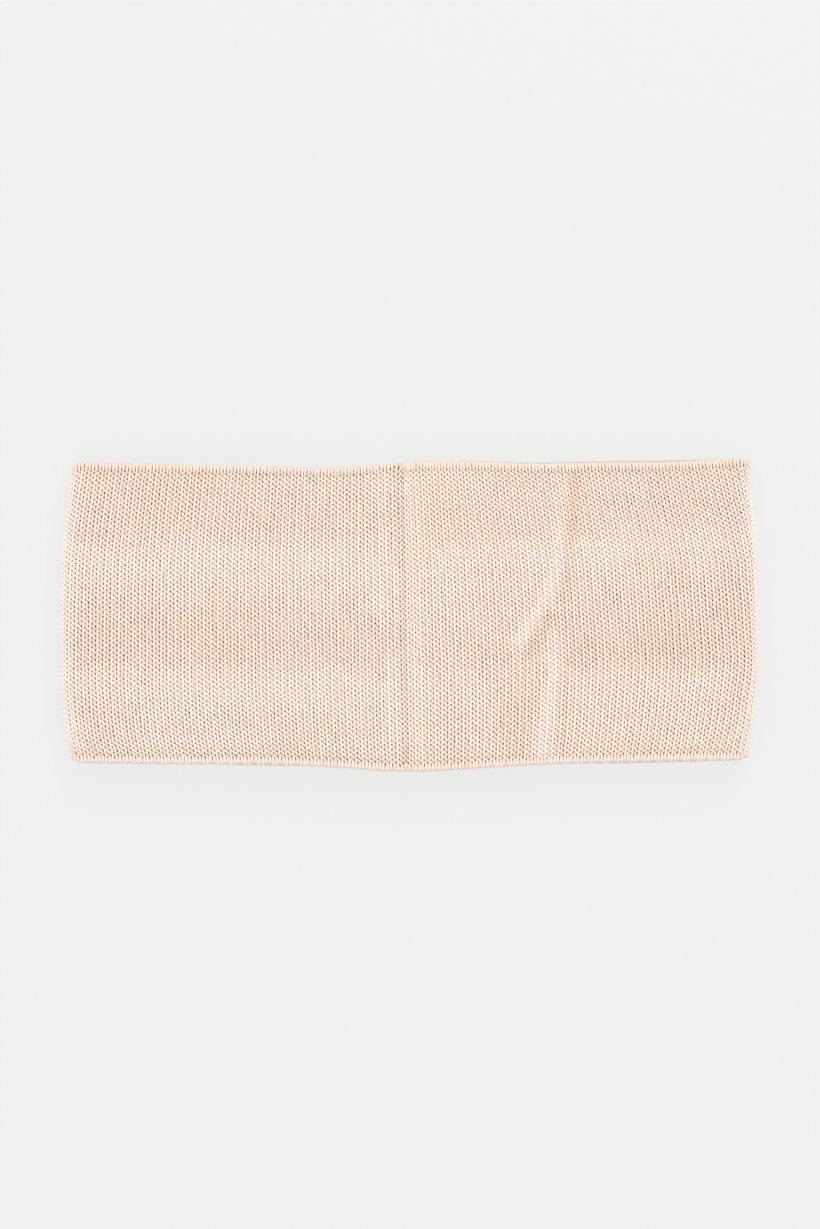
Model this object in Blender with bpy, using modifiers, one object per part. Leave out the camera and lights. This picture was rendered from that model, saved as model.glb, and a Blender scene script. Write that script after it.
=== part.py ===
"""Ear warmer headband: a knitted tube of cloth lying flat on a table.

One strip of cloth is joined into a ring by a seam and has a rolled edge above and below.
Run it with blender --background --python part.py, or from Blender's text editor.
"""

import math
from collections import namedtuple

import bmesh
import bpy
from mathutils import Vector

# Sizes of the band as it lies, in metres. X runs from fold to fold, Y from edge to edge, Z up.
FLAT_WIDTH = 0.230  # from the left fold to the right fold
BAND_HEIGHT = 0.100  # nominal distance from the lower edge to the upper edge
CLOTH_WALL = 0.0020  # thickness of one layer of cloth
LAYER_GAP = 0.0060  # open space between the two layers
ROLL_DIAMETER = 0.0024  # thickness of the rolled edges
CLEARANCE = 0.0003  # between a piece and the one that it touches

# The seam, in the upper layer near the middle of the width
SEAM_OFFSET = -0.0020  # its place across, from the middle of the band
SEAM_LEAN = 0.0009  # how far it leans to the right from its middle down to its lower end
SEAM_ALLOWANCE = 0.0055  # width of the turned-in cloth on each side of the seam
SEAM_PLY = 0.0016  # thickness of the turned-in cloth, pressed flat
GROOVE_DEPTH = 0.0007  # how far the cloth dips along the seam
GROOVE_REACH = 0.0014  # half width of that dip
SHOULDER_RISE = 0.0006  # how far the turned-in cloth lifts the layer beside the seam
SHOULDER_REACH = 0.0026  # half width of each lifted shoulder

# How finely the cloth is divided. Beside the seam it is at these shares of SEAM_ALLOWANCE.
SEAM_SHARES = (0.0, 0.25, 0.5, 0.75, 1.0, 1.3, 1.7)
TOP_STEP = 0.0046  # across the upper layer
BOTTOM_STEP = 0.0085  # across the lower layer, which lies flat
FOLD_SEGMENTS = 7  # round each side fold
ROWS = 18  # from edge to edge

# The edges as they lie. across is a share of half the width, and the others are shares of
# BAND_HEIGHT, measured from the middle line up to the upper edge and down to the lower edge.
EdgeStation = namedtuple("EdgeStation", "across top_front top_back low_front low_back")
EDGES = (
    EdgeStation(-1.00, 0.503, 0.503, 0.489, 0.489),
    EdgeStation(-0.74, 0.495, 0.491, 0.492, 0.491),
    EdgeStation(-0.40, 0.488, 0.485, 0.494, 0.500),
    EdgeStation(-0.22, 0.483, 0.486, 0.504, 0.502),
    EdgeStation(-0.08, 0.494, 0.496, 0.515, 0.508),
    EdgeStation(0.04, 0.504, 0.507, 0.5165, 0.508),
    EdgeStation(0.20, 0.503, 0.507, 0.506, 0.500),
    EdgeStation(0.37, 0.497, 0.503, 0.495, 0.494),
    EdgeStation(0.60, 0.500, 0.508, 0.487, 0.492),
    EdgeStation(0.82, 0.504, 0.512, 0.482, 0.487),
    EdgeStation(1.00, 0.5165, 0.5165, 0.480, 0.480),
)

# The side folds as seen from above. up is a share of half the height, and left and right are
# shares of half the width.
SideStation = namedtuple("SideStation", "up left right")
SIDES = (
    SideStation(-1.00, 0.971, 0.967),
    SideStation(-0.80, 0.989, 0.983),
    SideStation(-0.50, 1.000, 0.997),
    SideStation(-0.38, 1.000, 1.000),
    SideStation(0.30, 1.000, 0.994),
    SideStation(0.55, 0.993, 0.990),
    SideStation(0.80, 0.980, 0.979),
    SideStation(1.00, 0.968, 0.973),
)

# The soft creases that were pressed into the upper layer while it was packed. Each runs straight
# between two places, across and up, as shares of half the width and half the height. depth is a
# share of LAYER_GAP, and reach, how far the cloth slopes to the crease, one of BAND_HEIGHT.
CREASE_SOFTNESS = 0.0012  # how far from its line a crease is rounded
Crease = namedtuple("Crease", "across_1 up_1 across_2 up_2 depth reach")
CREASES = (
    Crease(-0.97, 0.46, -0.45, 0.44, 0.19, 0.13),
    Crease(-0.45, 0.44, -0.10, 0.46, 0.18, 0.13),
    Crease(0.08, 0.46, 0.45, 0.50, 0.16, 0.11),
    Crease(0.45, 0.50, 0.97, 0.55, 0.18, 0.13),
    Crease(-0.97, -0.34, -0.10, -0.37, 0.19, 0.13),
    Crease(0.08, -0.37, 0.36, -0.34, 0.12, 0.10),
    Crease(0.48, -0.335, 0.97, -0.34, 0.18, 0.13),
    Crease(0.462, 0.98, 0.439, 0.52, 0.19, 0.042),
    Crease(0.439, 0.52, 0.402, 0.09, 0.20, 0.042),
    Crease(0.402, 0.09, 0.336, -0.27, 0.20, 0.042),
    Crease(0.436, -0.12, 0.410, -0.50, 0.20, 0.042),
    Crease(0.410, -0.50, 0.400, -0.96, 0.19, 0.042),
)

CREAM = (0.86, 0.73, 0.60)
CREAM_SHADE = (0.82, 0.67, 0.53)
WOOL_ROUGHNESS = 0.9


def through_rows(rows, key, column, place):
    """The value of a table's column at a place, on a smooth curve through its rows."""
    keys = [getattr(row, key) for row in rows]
    values = [getattr(row, column) for row in rows]
    place = min(max(place, keys[0]), keys[-1])
    i = max(k for k in range(len(keys) - 1) if keys[k] <= place)
    span = keys[i + 1] - keys[i]
    share = (place - keys[i]) / span

    def slope(k):
        before, after = max(k - 1, 0), min(k + 1, len(keys) - 1)
        return (values[after] - values[before]) / (keys[after] - keys[before])

    square, cube = share**2, share**3
    return (
        (2 * cube - 3 * square + 1) * values[i]
        + (cube - 2 * square + share) * span * slope(i)
        + (3 * square - 2 * cube) * values[i + 1]
        + (cube - square) * span * slope(i + 1)
    )


def bell(distance, reach):
    """A smooth bump of height 1 that has nearly died away at twice its reach."""
    return math.exp(-((distance / reach) ** 2))


HALF_SPAN = (FLAT_WIDTH - CLOTH_WALL) / 2  # from the middle to the cloth's middle line at a fold
FOLD_RADIUS = (LAYER_GAP + CLOTH_WALL) / 2  # of the cloth's middle line round a side fold
STRAIGHT = HALF_SPAN - FOLD_RADIUS  # from the middle to where a fold begins


def section_stations():
    """Places round the band's section: (across, height, front share), once round from the seam.

    The height is that of the cloth's middle line above its lowest place, and the front share is
    1 on the upper layer, 0 on the lower one and between them on a fold.
    """
    beside_seam = [SEAM_ALLOWANCE * share for share in SEAM_SHARES]
    first = beside_seam[-1]

    def spread(start, end, step):
        count = max(1, round(abs(end - start) / step))
        return [start + (end - start) * k / count for k in range(1, count + 1)]

    top = 2 * FOLD_RADIUS
    right = [SEAM_OFFSET + d for d in beside_seam] + spread(SEAM_OFFSET + first, STRAIGHT, TOP_STEP)
    left = spread(-STRAIGHT, SEAM_OFFSET - first, TOP_STEP)
    left += [SEAM_OFFSET - d for d in reversed(beside_seam[1:-1])]
    bottom = spread(STRAIGHT, -STRAIGHT, BOTTOM_STEP)

    def fold(side):
        """Down the right fold for side 1, up the left one for side -1, without its first place."""
        places = []
        for k in range(1, FOLD_SEGMENTS + 1):
            turn = math.pi * k / FOLD_SEGMENTS
            height = FOLD_RADIUS * (1 + side * math.cos(turn))
            places.append((side * (STRAIGHT + FOLD_RADIUS * math.sin(turn)), height, height / top))
        return places

    return (
        [(x, top, 1.0) for x in right]
        + fold(1)
        + [(x, 0.0, 0.0) for x in bottom]
        + fold(-1)
        + [(x, top, 1.0) for x in left]
    )


def edge_line(across, front, upper):
    """How far the upper or lower edge lies from the middle line, at a share across the band."""
    columns = ("top_front", "top_back") if upper else ("low_front", "low_back")
    on_front, on_back = (through_rows(EDGES, "across", c, across) for c in columns)
    return BAND_HEIGHT * (on_back + (on_front - on_back) * front)


def crease_depth(x, y):
    """How far the deepest crease near a place sinks the upper layer."""
    here = Vector((x, y))
    deepest = 0.0
    for crease in CREASES:
        start = Vector((crease.across_1 * FLAT_WIDTH / 2, crease.up_1 * BAND_HEIGHT / 2))
        end = Vector((crease.across_2 * FLAT_WIDTH / 2, crease.up_2 * BAND_HEIGHT / 2))
        along = max(0.0, min(1.0, (here - start).dot(end - start) / (end - start).length_squared))
        away = math.hypot((here - start.lerp(end, along)).length, CREASE_SOFTNESS)
        fade = math.exp((CREASE_SOFTNESS - away) / (crease.reach * BAND_HEIGHT))
        deepest = max(deepest, crease.depth * LAYER_GAP * fade)
    return deepest


def seam_relief(x, up):
    """The groove along the seam and the shoulders that the turned-in cloth lifts beside it."""
    away = abs(x - SEAM_OFFSET + SEAM_LEAN * up)
    shoulder = SHOULDER_RISE * bell(away - SEAM_ALLOWANCE, SHOULDER_REACH)
    return shoulder - GROOVE_DEPTH * bell(away, GROOVE_REACH)


def cloth_place(station, up, inset):
    """A place on the cloth's middle surface. up runs from -1 at the lower edge to 1 at the upper,
    and inset keeps both ends that far inside the edges."""
    flat_x, height, front = station
    side = "right" if flat_x > 0 else "left"
    taper = through_rows(SIDES, "up", side, up)
    beside_seam = max(0.0, 1 - abs(flat_x - SEAM_OFFSET) / HALF_SPAN)
    x = flat_x * taper - SEAM_LEAN * up * beside_seam * front
    across = flat_x / HALF_SPAN
    top = edge_line(across, front, True) - inset
    low = edge_line(across, front, False) - inset
    y = (top - low) / 2 + up * (top + low) / 2
    relief = seam_relief(x, up) - crease_depth(x, y)
    lifted = max(0.0, 2 * front - 1)
    z = CLOTH_WALL / 2 + height + relief * lifted**2
    return Vector((x, y, z))


def wool(name, colour):
    """A matt knitted yarn."""
    material = bpy.data.materials.new(name)
    material.use_nodes = True
    shader = material.node_tree.nodes["Principled BSDF"]
    shader.inputs["Base Color"].default_value = (*colour, 1)
    shader.inputs["Roughness"].default_value = WOOL_ROUGHNESS
    shader.inputs["Metallic"].default_value = 0.0
    return material


def add_sheet(name, places, closed, thickness, material, parts):
    """A grid of places as one sheet of cloth, given its wall by Solidify."""
    columns, rows = len(places), len(places[0])
    mesh = bpy.data.meshes.new(name)
    bm = bmesh.new()
    bmesh.ops.create_grid(bm, x_segments=columns - 1, y_segments=rows - 1, size=1)
    bm.verts.ensure_lookup_table()
    for k, vert in enumerate(sorted(bm.verts, key=lambda v: (round(v.co.x, 5), round(v.co.y, 5)))):
        vert.co = places[k // rows][k % rows]
    if closed:
        bmesh.ops.remove_doubles(bm, verts=bm.verts, dist=CLOTH_WALL / 1000)
    bmesh.ops.recalc_face_normals(bm, faces=bm.faces)
    bm.to_mesh(mesh)
    bm.free()
    sheet = bpy.data.objects.new(name, mesh)
    parts.objects.link(sheet)
    mesh.shade_smooth()
    mesh.materials.append(material)
    wall = sheet.modifiers.new("wall", "SOLIDIFY")
    wall.thickness = thickness
    wall.offset = 0
    wall.use_even_offset = True
    return sheet


def build_band(stations, material, parts):
    """The knitted ring itself, without its rolled edges."""
    inset = ROLL_DIAMETER + CLEARANCE
    ups = [-1 + 2 * k / ROWS for k in range(ROWS + 1)]
    ring = stations + stations[:1]
    places = [[cloth_place(station, up, inset) for up in ups] for station in ring]
    return add_sheet("knit_band", places, True, CLOTH_WALL, material, parts)


def build_roll(name, stations, up, material, parts):
    """The rolled edge at up 1 or -1: a round roll of cloth that runs once round the band."""
    lift = (ROLL_DIAMETER - CLOTH_WALL) / 2
    curve = bpy.data.curves.new(name, "CURVE")
    curve.dimensions = "3D"
    curve.bevel_depth = ROLL_DIAMETER / 2
    curve.bevel_resolution = 2
    spline = curve.splines.new("POLY")
    spline.points.add(len(stations) - 1)
    for point, station in zip(spline.points, stations):
        place = cloth_place(station, up, ROLL_DIAMETER / 2)
        point.co = (place.x, place.y, place.z + lift, 1)
    spline.use_cyclic_u = True
    roll = bpy.data.objects.new(name, curve)
    parts.objects.link(roll)
    curve.materials.append(material)
    return roll


def build_seam(material, parts):
    """The turned-in cloth of the seam: a flat strip just under the upper layer."""
    inset = ROLL_DIAMETER + CLEARANCE
    below = CLOTH_WALL / 2 + CLEARANCE + SEAM_PLY / 2
    kept = [SEAM_ALLOWANCE * share for share in SEAM_SHARES if share <= 1.0]
    beyond = SEAM_ALLOWANCE * min(share for share in SEAM_SHARES if share > 1.0)
    aways = [-away for away in reversed(kept[1:])] + kept
    around = [-beyond] + aways + [beyond]

    def row(up):
        """One row of places below the upper layer, measured square to its facets."""
        above = [
            cloth_place((SEAM_OFFSET + away, 2 * FOLD_RADIUS, 1.0), up, inset) for away in around
        ]
        below_them = []
        for before, here, after in zip(above, above[1:], above[2:]):
            facet = (after - here).normalized()
            run = ((here - before).normalized() + facet).normalized()
            outwards = run.cross(Vector((0, 1, 0))).normalized()
            below_them.append(here - outwards * (below / run.dot(facet)))
        return below_them

    rows = [row(-1 + 2 * k / ROWS) for k in range(ROWS + 1)]
    places = [list(column) for column in zip(*rows)]
    return add_sheet("seam_allowance", places, False, SEAM_PLY, material, parts)


def main():
    for old in list(bpy.data.objects):
        bpy.data.objects.remove(old)
    parts = bpy.data.collections.new("ear_warmer_headband")
    bpy.context.scene.collection.children.link(parts)
    cloth = wool("cream_knit", CREAM)
    edging = wool("cream_edge", CREAM_SHADE)
    stations = section_stations()
    build_band(stations, cloth, parts)
    build_roll("upper_edge", stations, 1, edging, parts)
    build_roll("lower_edge", stations, -1, edging, parts)
    build_seam(cloth, parts)


main()
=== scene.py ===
"""A knitted ear warmer headband on a pale floor, dressed over its solids.

The cloth is made stitch by stitch: every course is one yarn that runs from the seam right round
the band and back to the seam. Run it as a script in Blender.
"""

import math
from collections import namedtuple

import bpy
import numpy as np
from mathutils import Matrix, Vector


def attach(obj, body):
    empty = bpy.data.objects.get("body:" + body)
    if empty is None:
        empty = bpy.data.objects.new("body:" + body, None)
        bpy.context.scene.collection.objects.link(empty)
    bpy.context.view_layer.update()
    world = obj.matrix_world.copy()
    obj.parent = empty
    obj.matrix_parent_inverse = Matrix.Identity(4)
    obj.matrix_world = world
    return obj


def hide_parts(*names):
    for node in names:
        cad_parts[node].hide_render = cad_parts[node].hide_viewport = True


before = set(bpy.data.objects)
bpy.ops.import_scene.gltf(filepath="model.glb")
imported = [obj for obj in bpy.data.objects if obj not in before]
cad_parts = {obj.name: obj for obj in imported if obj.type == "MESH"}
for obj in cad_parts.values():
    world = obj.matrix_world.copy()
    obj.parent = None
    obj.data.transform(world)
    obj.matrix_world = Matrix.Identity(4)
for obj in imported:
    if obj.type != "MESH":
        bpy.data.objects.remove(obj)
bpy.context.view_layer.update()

bl_info = {
    "name": "Knitted Ear Warmer",
    "version": (1, 0, 0),
    "blender": (4, 5, 0),
    "location": "View3D > Sidebar > Ear Warmer",
    "description": "Knits an ear warmer headband that lies flat, and sets up its floor and light",
    "category": "Object",
}

# The edges as they lie. across is a share of half the width, and the others are shares of the
# band's height, measured from the middle line up to the upper edge and down to the lower one.
EdgeStation = namedtuple("EdgeStation", "across top_front top_back low_front low_back")
EDGES = (
    EdgeStation(-1.00, 0.503, 0.503, 0.489, 0.489),
    EdgeStation(-0.74, 0.495, 0.491, 0.492, 0.491),
    EdgeStation(-0.40, 0.488, 0.485, 0.494, 0.500),
    EdgeStation(-0.22, 0.483, 0.486, 0.504, 0.502),
    EdgeStation(-0.08, 0.494, 0.496, 0.515, 0.508),
    EdgeStation(0.04, 0.504, 0.507, 0.5165, 0.508),
    EdgeStation(0.20, 0.503, 0.507, 0.506, 0.500),
    EdgeStation(0.37, 0.497, 0.503, 0.495, 0.494),
    EdgeStation(0.60, 0.500, 0.508, 0.487, 0.492),
    EdgeStation(0.82, 0.504, 0.512, 0.482, 0.487),
    EdgeStation(1.00, 0.5165, 0.5165, 0.480, 0.480),
)

# The side folds as seen from above. up is a share of half the height, and left and right are
# shares of half the width.
SideStation = namedtuple("SideStation", "up left right")
SIDES = (
    SideStation(-1.00, 0.971, 0.967),
    SideStation(-0.80, 0.989, 0.983),
    SideStation(-0.50, 1.000, 0.997),
    SideStation(-0.38, 1.000, 1.000),
    SideStation(0.30, 1.000, 0.994),
    SideStation(0.55, 0.993, 0.990),
    SideStation(0.80, 0.980, 0.979),
    SideStation(1.00, 0.968, 0.973),
)

# The soft creases of the upper layer. Each runs straight between two places, across and up, as
# shares of half the width and half the height. depth is a share of the gap between the layers,
# and reach, how far the cloth slopes to the crease, one of the band's height.
Crease = namedtuple("Crease", "across_1 up_1 across_2 up_2 depth reach")
CREASES = (
    Crease(-0.97, 0.46, -0.45, 0.44, 0.19, 0.13),
    Crease(-0.45, 0.44, -0.10, 0.46, 0.18, 0.13),
    Crease(0.08, 0.46, 0.45, 0.50, 0.16, 0.11),
    Crease(0.45, 0.50, 0.97, 0.55, 0.18, 0.13),
    Crease(-0.97, -0.34, -0.10, -0.37, 0.19, 0.13),
    Crease(0.08, -0.37, 0.36, -0.34, 0.12, 0.10),
    Crease(0.48, -0.335, 0.97, -0.34, 0.18, 0.13),
    Crease(0.462, 0.98, 0.439, 0.52, 0.19, 0.042),
    Crease(0.439, 0.52, 0.402, 0.09, 0.20, 0.042),
    Crease(0.402, 0.09, 0.336, -0.27, 0.20, 0.042),
    Crease(0.436, -0.12, 0.410, -0.50, 0.20, 0.042),
    Crease(0.410, -0.50, 0.400, -0.96, 0.19, 0.042),
)

# How far a column of stitches leans to the right on its way down, beyond what the side folds
# give it, in the upper, middle and lower third.
Lean = namedtuple("Lean", "across upper middle lower")
LEANS = (
    Lean(-1.00, -0.02, -0.02, 0.00),
    Lean(-0.30, -0.01, 0.00, 0.00),
    Lean(0.00, 0.02, 0.00, 0.00),
    Lean(0.25, 0.08, 0.03, 0.00),
    Lean(0.75, 0.13, 0.05, -0.03),
    Lean(1.00, 0.16, 0.05, -0.05),
)

# Rows of the upper layer where the stitches are pressed together and painted lighter, on the lit
# sides of the creases, along the side folds and beside the seam, and rows of orange painted
# shade, on the shaded sides of the creases, in the upper third, by the right fold and at the
# seam's ends. Each row runs straight between two places, across and up, as shares of half the
# width and half the height, and reach is its half width as a share of the band's height. The
# sixth column is how far its stitches are pressed together, which thickens their yarn, and how
# much painted light they take, and the last is how much orange painted shade their yarn takes.
PressLightShade = namedtuple("PressLightShade", "across_1 up_1 across_2 up_2 reach closed warm")
PRESSES_LIGHT_AND_SHADE = (
    PressLightShade(0.439, 0.92, 0.434, 0.55, 0.030, 0.35, 0.0),
    PressLightShade(0.430, 0.55, 0.419, 0.30, 0.028, 0.75, 0.0),
    PressLightShade(0.419, 0.30, 0.385, 0.10, 0.028, 0.85, 0.0),
    PressLightShade(0.385, 0.10, 0.316, -0.17, 0.027, 1.00, 0.0),
    PressLightShade(0.418, -0.14, 0.412, -0.30, 0.024, 0.50, 0.0),
    PressLightShade(0.412, -0.30, 0.405, -0.45, 0.029, 1.00, 0.0),
    PressLightShade(0.405, -0.45, 0.380, -0.92, 0.033, 0.88, 0.0),
    PressLightShade(0.475, 0.97, 0.461, 0.50, 0.024, 0.0, 1.00),
    PressLightShade(0.461, 0.50, 0.437, 0.10, 0.020, 0.0, 0.60),
    PressLightShade(0.400, -0.02, 0.335, -0.27, 0.022, 0.0, 0.70),
    PressLightShade(0.445, -0.30, 0.425, -0.90, 0.022, 0.0, 0.40),
    PressLightShade(0.300, -0.50, 0.310, -0.92, 0.060, 0.0, 0.40),
    PressLightShade(-0.075, 0.95, -0.080, 0.60, 0.026, 0.22, 0.0),
    PressLightShade(-0.080, 0.50, -0.085, 0.05, 0.028, 0.32, 0.0),
    PressLightShade(-0.060, -0.30, -0.050, -0.80, 0.024, 0.45, 0.0),
    PressLightShade(0.016, 0.95, 0.030, -0.90, 0.018, 0.15, 0.0),
    PressLightShade(-0.040, 0.98, -0.036, 0.10, 0.017, 0.40, 0.0),
    PressLightShade(-0.036, 0.10, -0.028, -0.95, 0.017, 0.30, 0.0),
    PressLightShade(-0.97, 0.36, -0.10, 0.35, 0.085, 0.30, 0.0),
    PressLightShade(0.08, 0.38, 0.42, 0.42, 0.070, 0.22, 0.0),
    PressLightShade(0.48, 0.45, 0.95, 0.48, 0.075, 0.30, 0.0),
    PressLightShade(-0.97, -0.46, -0.10, -0.48, 0.070, 0.28, 0.0),
    PressLightShade(0.08, -0.47, 0.34, -0.46, 0.070, 0.20, 0.0),
    PressLightShade(0.48, -0.45, 0.90, -0.45, 0.060, 0.22, 0.0),
    PressLightShade(-0.972, 1.00, -0.995, 0.50, 0.034, 0.90, 0.0),
    PressLightShade(-1.000, 0.50, -1.000, -0.50, 0.034, 0.90, 0.0),
    PressLightShade(-0.995, -0.50, -0.972, -1.00, 0.034, 0.90, 0.0),
    PressLightShade(0.975, 1.00, 0.995, 0.50, 0.026, 0.90, 0.0),
    PressLightShade(1.000, 0.50, 1.000, -0.50, 0.026, 0.90, 0.0),
    PressLightShade(0.995, -0.50, 0.967, -1.00, 0.040, 0.90, 0.0),
    PressLightShade(-0.024, 1.00, -0.022, 0.90, 0.014, 0.0, 1.00),
    PressLightShade(-0.013, -0.90, -0.010, -1.00, 0.014, 0.0, 1.00),
    PressLightShade(-0.98, 0.90, 0.98, 0.92, 0.050, 0.0, 0.30),
    PressLightShade(-0.98, 0.72, 0.98, 0.76, 0.150, 0.0, 0.22),
    PressLightShade(-0.98, -0.12, -0.10, -0.20, 0.080, 0.0, 0.20),
    PressLightShade(0.48, -0.20, 0.98, -0.22, 0.080, 0.0, 0.28),
    PressLightShade(0.92, 0.90, 0.95, -0.90, 0.080, 0.0, 0.30),
)

# The knitting is cut into pieces at these columns, as shares of the way round from the seam.
# points is how many points the yarn has in each stitch.
KnitPiece = namedtuple("KnitPiece", "name start end points")
KNIT_PIECES = (
    KnitPiece("knit_front_right", 0.000, 0.168, 10),
    KnitPiece("knit_right_side", 0.168, 0.277, 9),
    KnitPiece("knit_back_right", 0.277, 0.500, 6),
    KnitPiece("knit_back_left", 0.500, 0.723, 6),
    KnitPiece("knit_left_side", 0.723, 0.832, 9),
    KnitPiece("knit_front_left", 0.832, 1.000, 10),
)

# How each rolled edge is wrapped. scallop is how far its outline waves, in metres, and core the
# thickness of the yarn inside, as a share of the roll's. Painted shade darkens the gaps between
# the legs from gap_start to gap_end of a leg's way over, and shade is how much grey painted
# shade its far part takes.
EdgeWrap = namedtuple("EdgeWrap", "name node upper scallop core gap_start gap_end shade")
EDGE_WRAPS = (
    EdgeWrap("upper_wraps", "upper_edge", 1.0, 0.00004, 0.68, 0.60, 1.2, 1.0),
    EdgeWrap("lower_wraps", "lower_edge", -1.0, 0.00024, 0.82, 0.82, 0.9, 0.5),
)

# How much orange painted shade the yarn takes beside the rolled edges, counted in courses, and
# beside the seam, counted in stitches: the largest share, how far away it is largest, and how
# far it reaches from there.
Warm = namedtuple("Warm", "share at reach")
WARM_EDGE = Warm(0.62, 0.2, 1.6)
WARM_SEAM = Warm(0.35, 0.55, 0.4)
TURNED_IN_WARMTH = 0.3  # share of the orange painted shade in the turned-in cloth

# The lamps, which face the middle of the band. Each has its power in the stage's sizes.
Lamp = namedtuple("Lamp", "name size place")
LAMPS = (
    Lamp("window", 1.0, (0.40, 1.12, 0.85)),
    Lamp("fill", 0.8, (-1.3, -0.1, 0.35)),
)

MAP_MARGIN = 2  # stitches and courses by which the cloth's map reaches past the knitting
COLUMNS_A_STITCH = 3  # of the surface that carries the yarn
LEAN_START, LEAN_FADE = 0.3, 6  # the columns' lean grows over 6 turn radii beside the seam
STRAY_FINE, STRAY_BROAD, STRAY_WRAPS = 1.3, 0.22, 0.9  # how quickly chance changes, a stitch
GROUND_SUNK = 0.35  # of the loops' depth, by which the ground lies behind the cloth's middle
GROUND_WALL = 0.3  # thickness of the ground, as a share of the yarn's
YARN_SIDES, CORE_SIDES = 4, 10  # of the profiles of the knitted yarn and of the edges' core
TURNED_IN_POINTS, TURNED_IN_REACH = 7, 0.8  # points a stitch and reach of its loops

FLATTENED = 0.6  # 1 for a round yarn over the edges, less for a squarer one
WRAP_WIDTH = 1.48  # width of that yarn, where its thickness is 1
WRAP_TURN = 5.0  # radians round the roll from one end of a leg to the other
WRAP_SLANT = 0.06  # stitches by which a leg slants on its way over
WRAP_SLIMMING = 1.2  # how fast a leg grows thinner to its ends
WRAP_UNEVENNESS = 0.6  # of the chance in the stitches, taken up by a leg's thickness
PAIRED = 0.045  # stitches by which the two legs over an edge lean to each other
FAR_SIDE_LATE = 0.22  # how much later the painted shade of the gap between two pairs of legs starts than that in one
GAP_OPENING, GAP_CLOSING = 0.1, 0.08  # shares of a leg's way on which the painted shade of a gap grows and fades
LEG_SHADE, GAP_SHADE = -0.35, 0.75  # painted shade: how far a leg seems to sink, and what a gap adds to that
OUTER_FROM, OUTER_TO = 0.95, 0.55  # shares of a leg's way on which it turns to the edge's grey painted shade
CORE_END = 0.95  # how far out the core reaches, as a share of the roll's radius
CORE_SHADE = 0.8  # share of the edge's grey painted shade in the core

# The colour turns from the yarn's to a painted shade, the depth colour, as a loop sinks.
USUAL_DEPTH, EDGE_DEPTH = 0.74, 0.96  # largest share of the painted depth shade, on the face and edges
RARE_DEPTH = 0.22  # what a rare stitch adds to that share of painted shade and to how far it seems to sink
RARE_FROM, RARE_TO = 0.84, 0.95  # chance values between which a stitch turns rare
DARKEST_SHADE = (0.03, 0.012, 0.006, 1.0)  # painted shade in the holes of rare stitches
SPARED = 0.7  # how much of the painted depth shade goes where stitches are pressed and painted lighter
FLANK_SHADE = 0.07  # largest share of the orange painted shade on a loop's flanks
WARM_FACE, WARM_WRAPS = 0.21, 0.10  # largest share of orange painted shade in the yarn of the face and the edges
FUZZ = 0.16  # how much the yarn's tone varies from spot to spot
GREEN_CLOUDS, BLUE_CLOUDS = -0.05, -0.14  # how its green and blue vary in broad clouds
LIT_PALER, LIT_BLUER = 0.032, 0.055  # painted light: what a pressed row adds to the yarn's tone and its blue
TWISTS = 5  # turns of the yarn's plies in a stitch

FLOOR_REACH, FLOOR_LEVEL = 3.0, -0.0001  # half the floor's width, and its height
CLOTH_LEVEL = 0.0054  # height at which the camera sees SEEN_HEIGHT from top to bottom
SEEN_HEIGHT = 0.4043
VECTOR = "FLOAT_VECTOR"


class BandSizes(bpy.types.PropertyGroup):
    flat_width: bpy.props.FloatProperty(
        name="Flat Width", description="From the left fold to the right fold",
        default=0.230, min=0.1, unit="LENGTH")
    height: bpy.props.FloatProperty(
        name="Height", description="From the lower edge to the upper edge",
        default=0.100, min=0.03, unit="LENGTH")
    wall: bpy.props.FloatProperty(
        name="Cloth Thickness", description="Thickness of one layer of knitted cloth",
        default=0.0020, min=0.0005, unit="LENGTH")
    layer_gap: bpy.props.FloatProperty(
        name="Layer Gap", description="Open space between the two layers",
        default=0.0060, min=0.001, unit="LENGTH")
    roll: bpy.props.FloatProperty(
        name="Edge Thickness", description="Thickness of the rolled edges",
        default=0.0024, min=0.001, unit="LENGTH")
    tuck: bpy.props.FloatProperty(
        name="Tuck", description="How far the knitting runs in under the rolled edges",
        default=0.0006, min=0.0, unit="LENGTH")
    corner: bpy.props.FloatProperty(
        name="Corner", description="How far the corners at the side folds are rounded off",
        default=0.0010, min=0.0, unit="LENGTH")
    corner_reach: bpy.props.FloatProperty(
        name="Corner Reach", description="How far from the side folds the corners are rounded",
        default=0.0018, min=0.0001, unit="LENGTH")
    crease_softness: bpy.props.FloatProperty(
        name="Crease Softness", description="How far from its line a crease is rounded",
        default=0.0012, min=0.0001, unit="LENGTH")
    seam_clearance: bpy.props.FloatProperty(
        name="Clearance", description="Space between the front layer and the cloth turned in",
        default=0.0003, min=0.0, unit="LENGTH")


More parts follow.
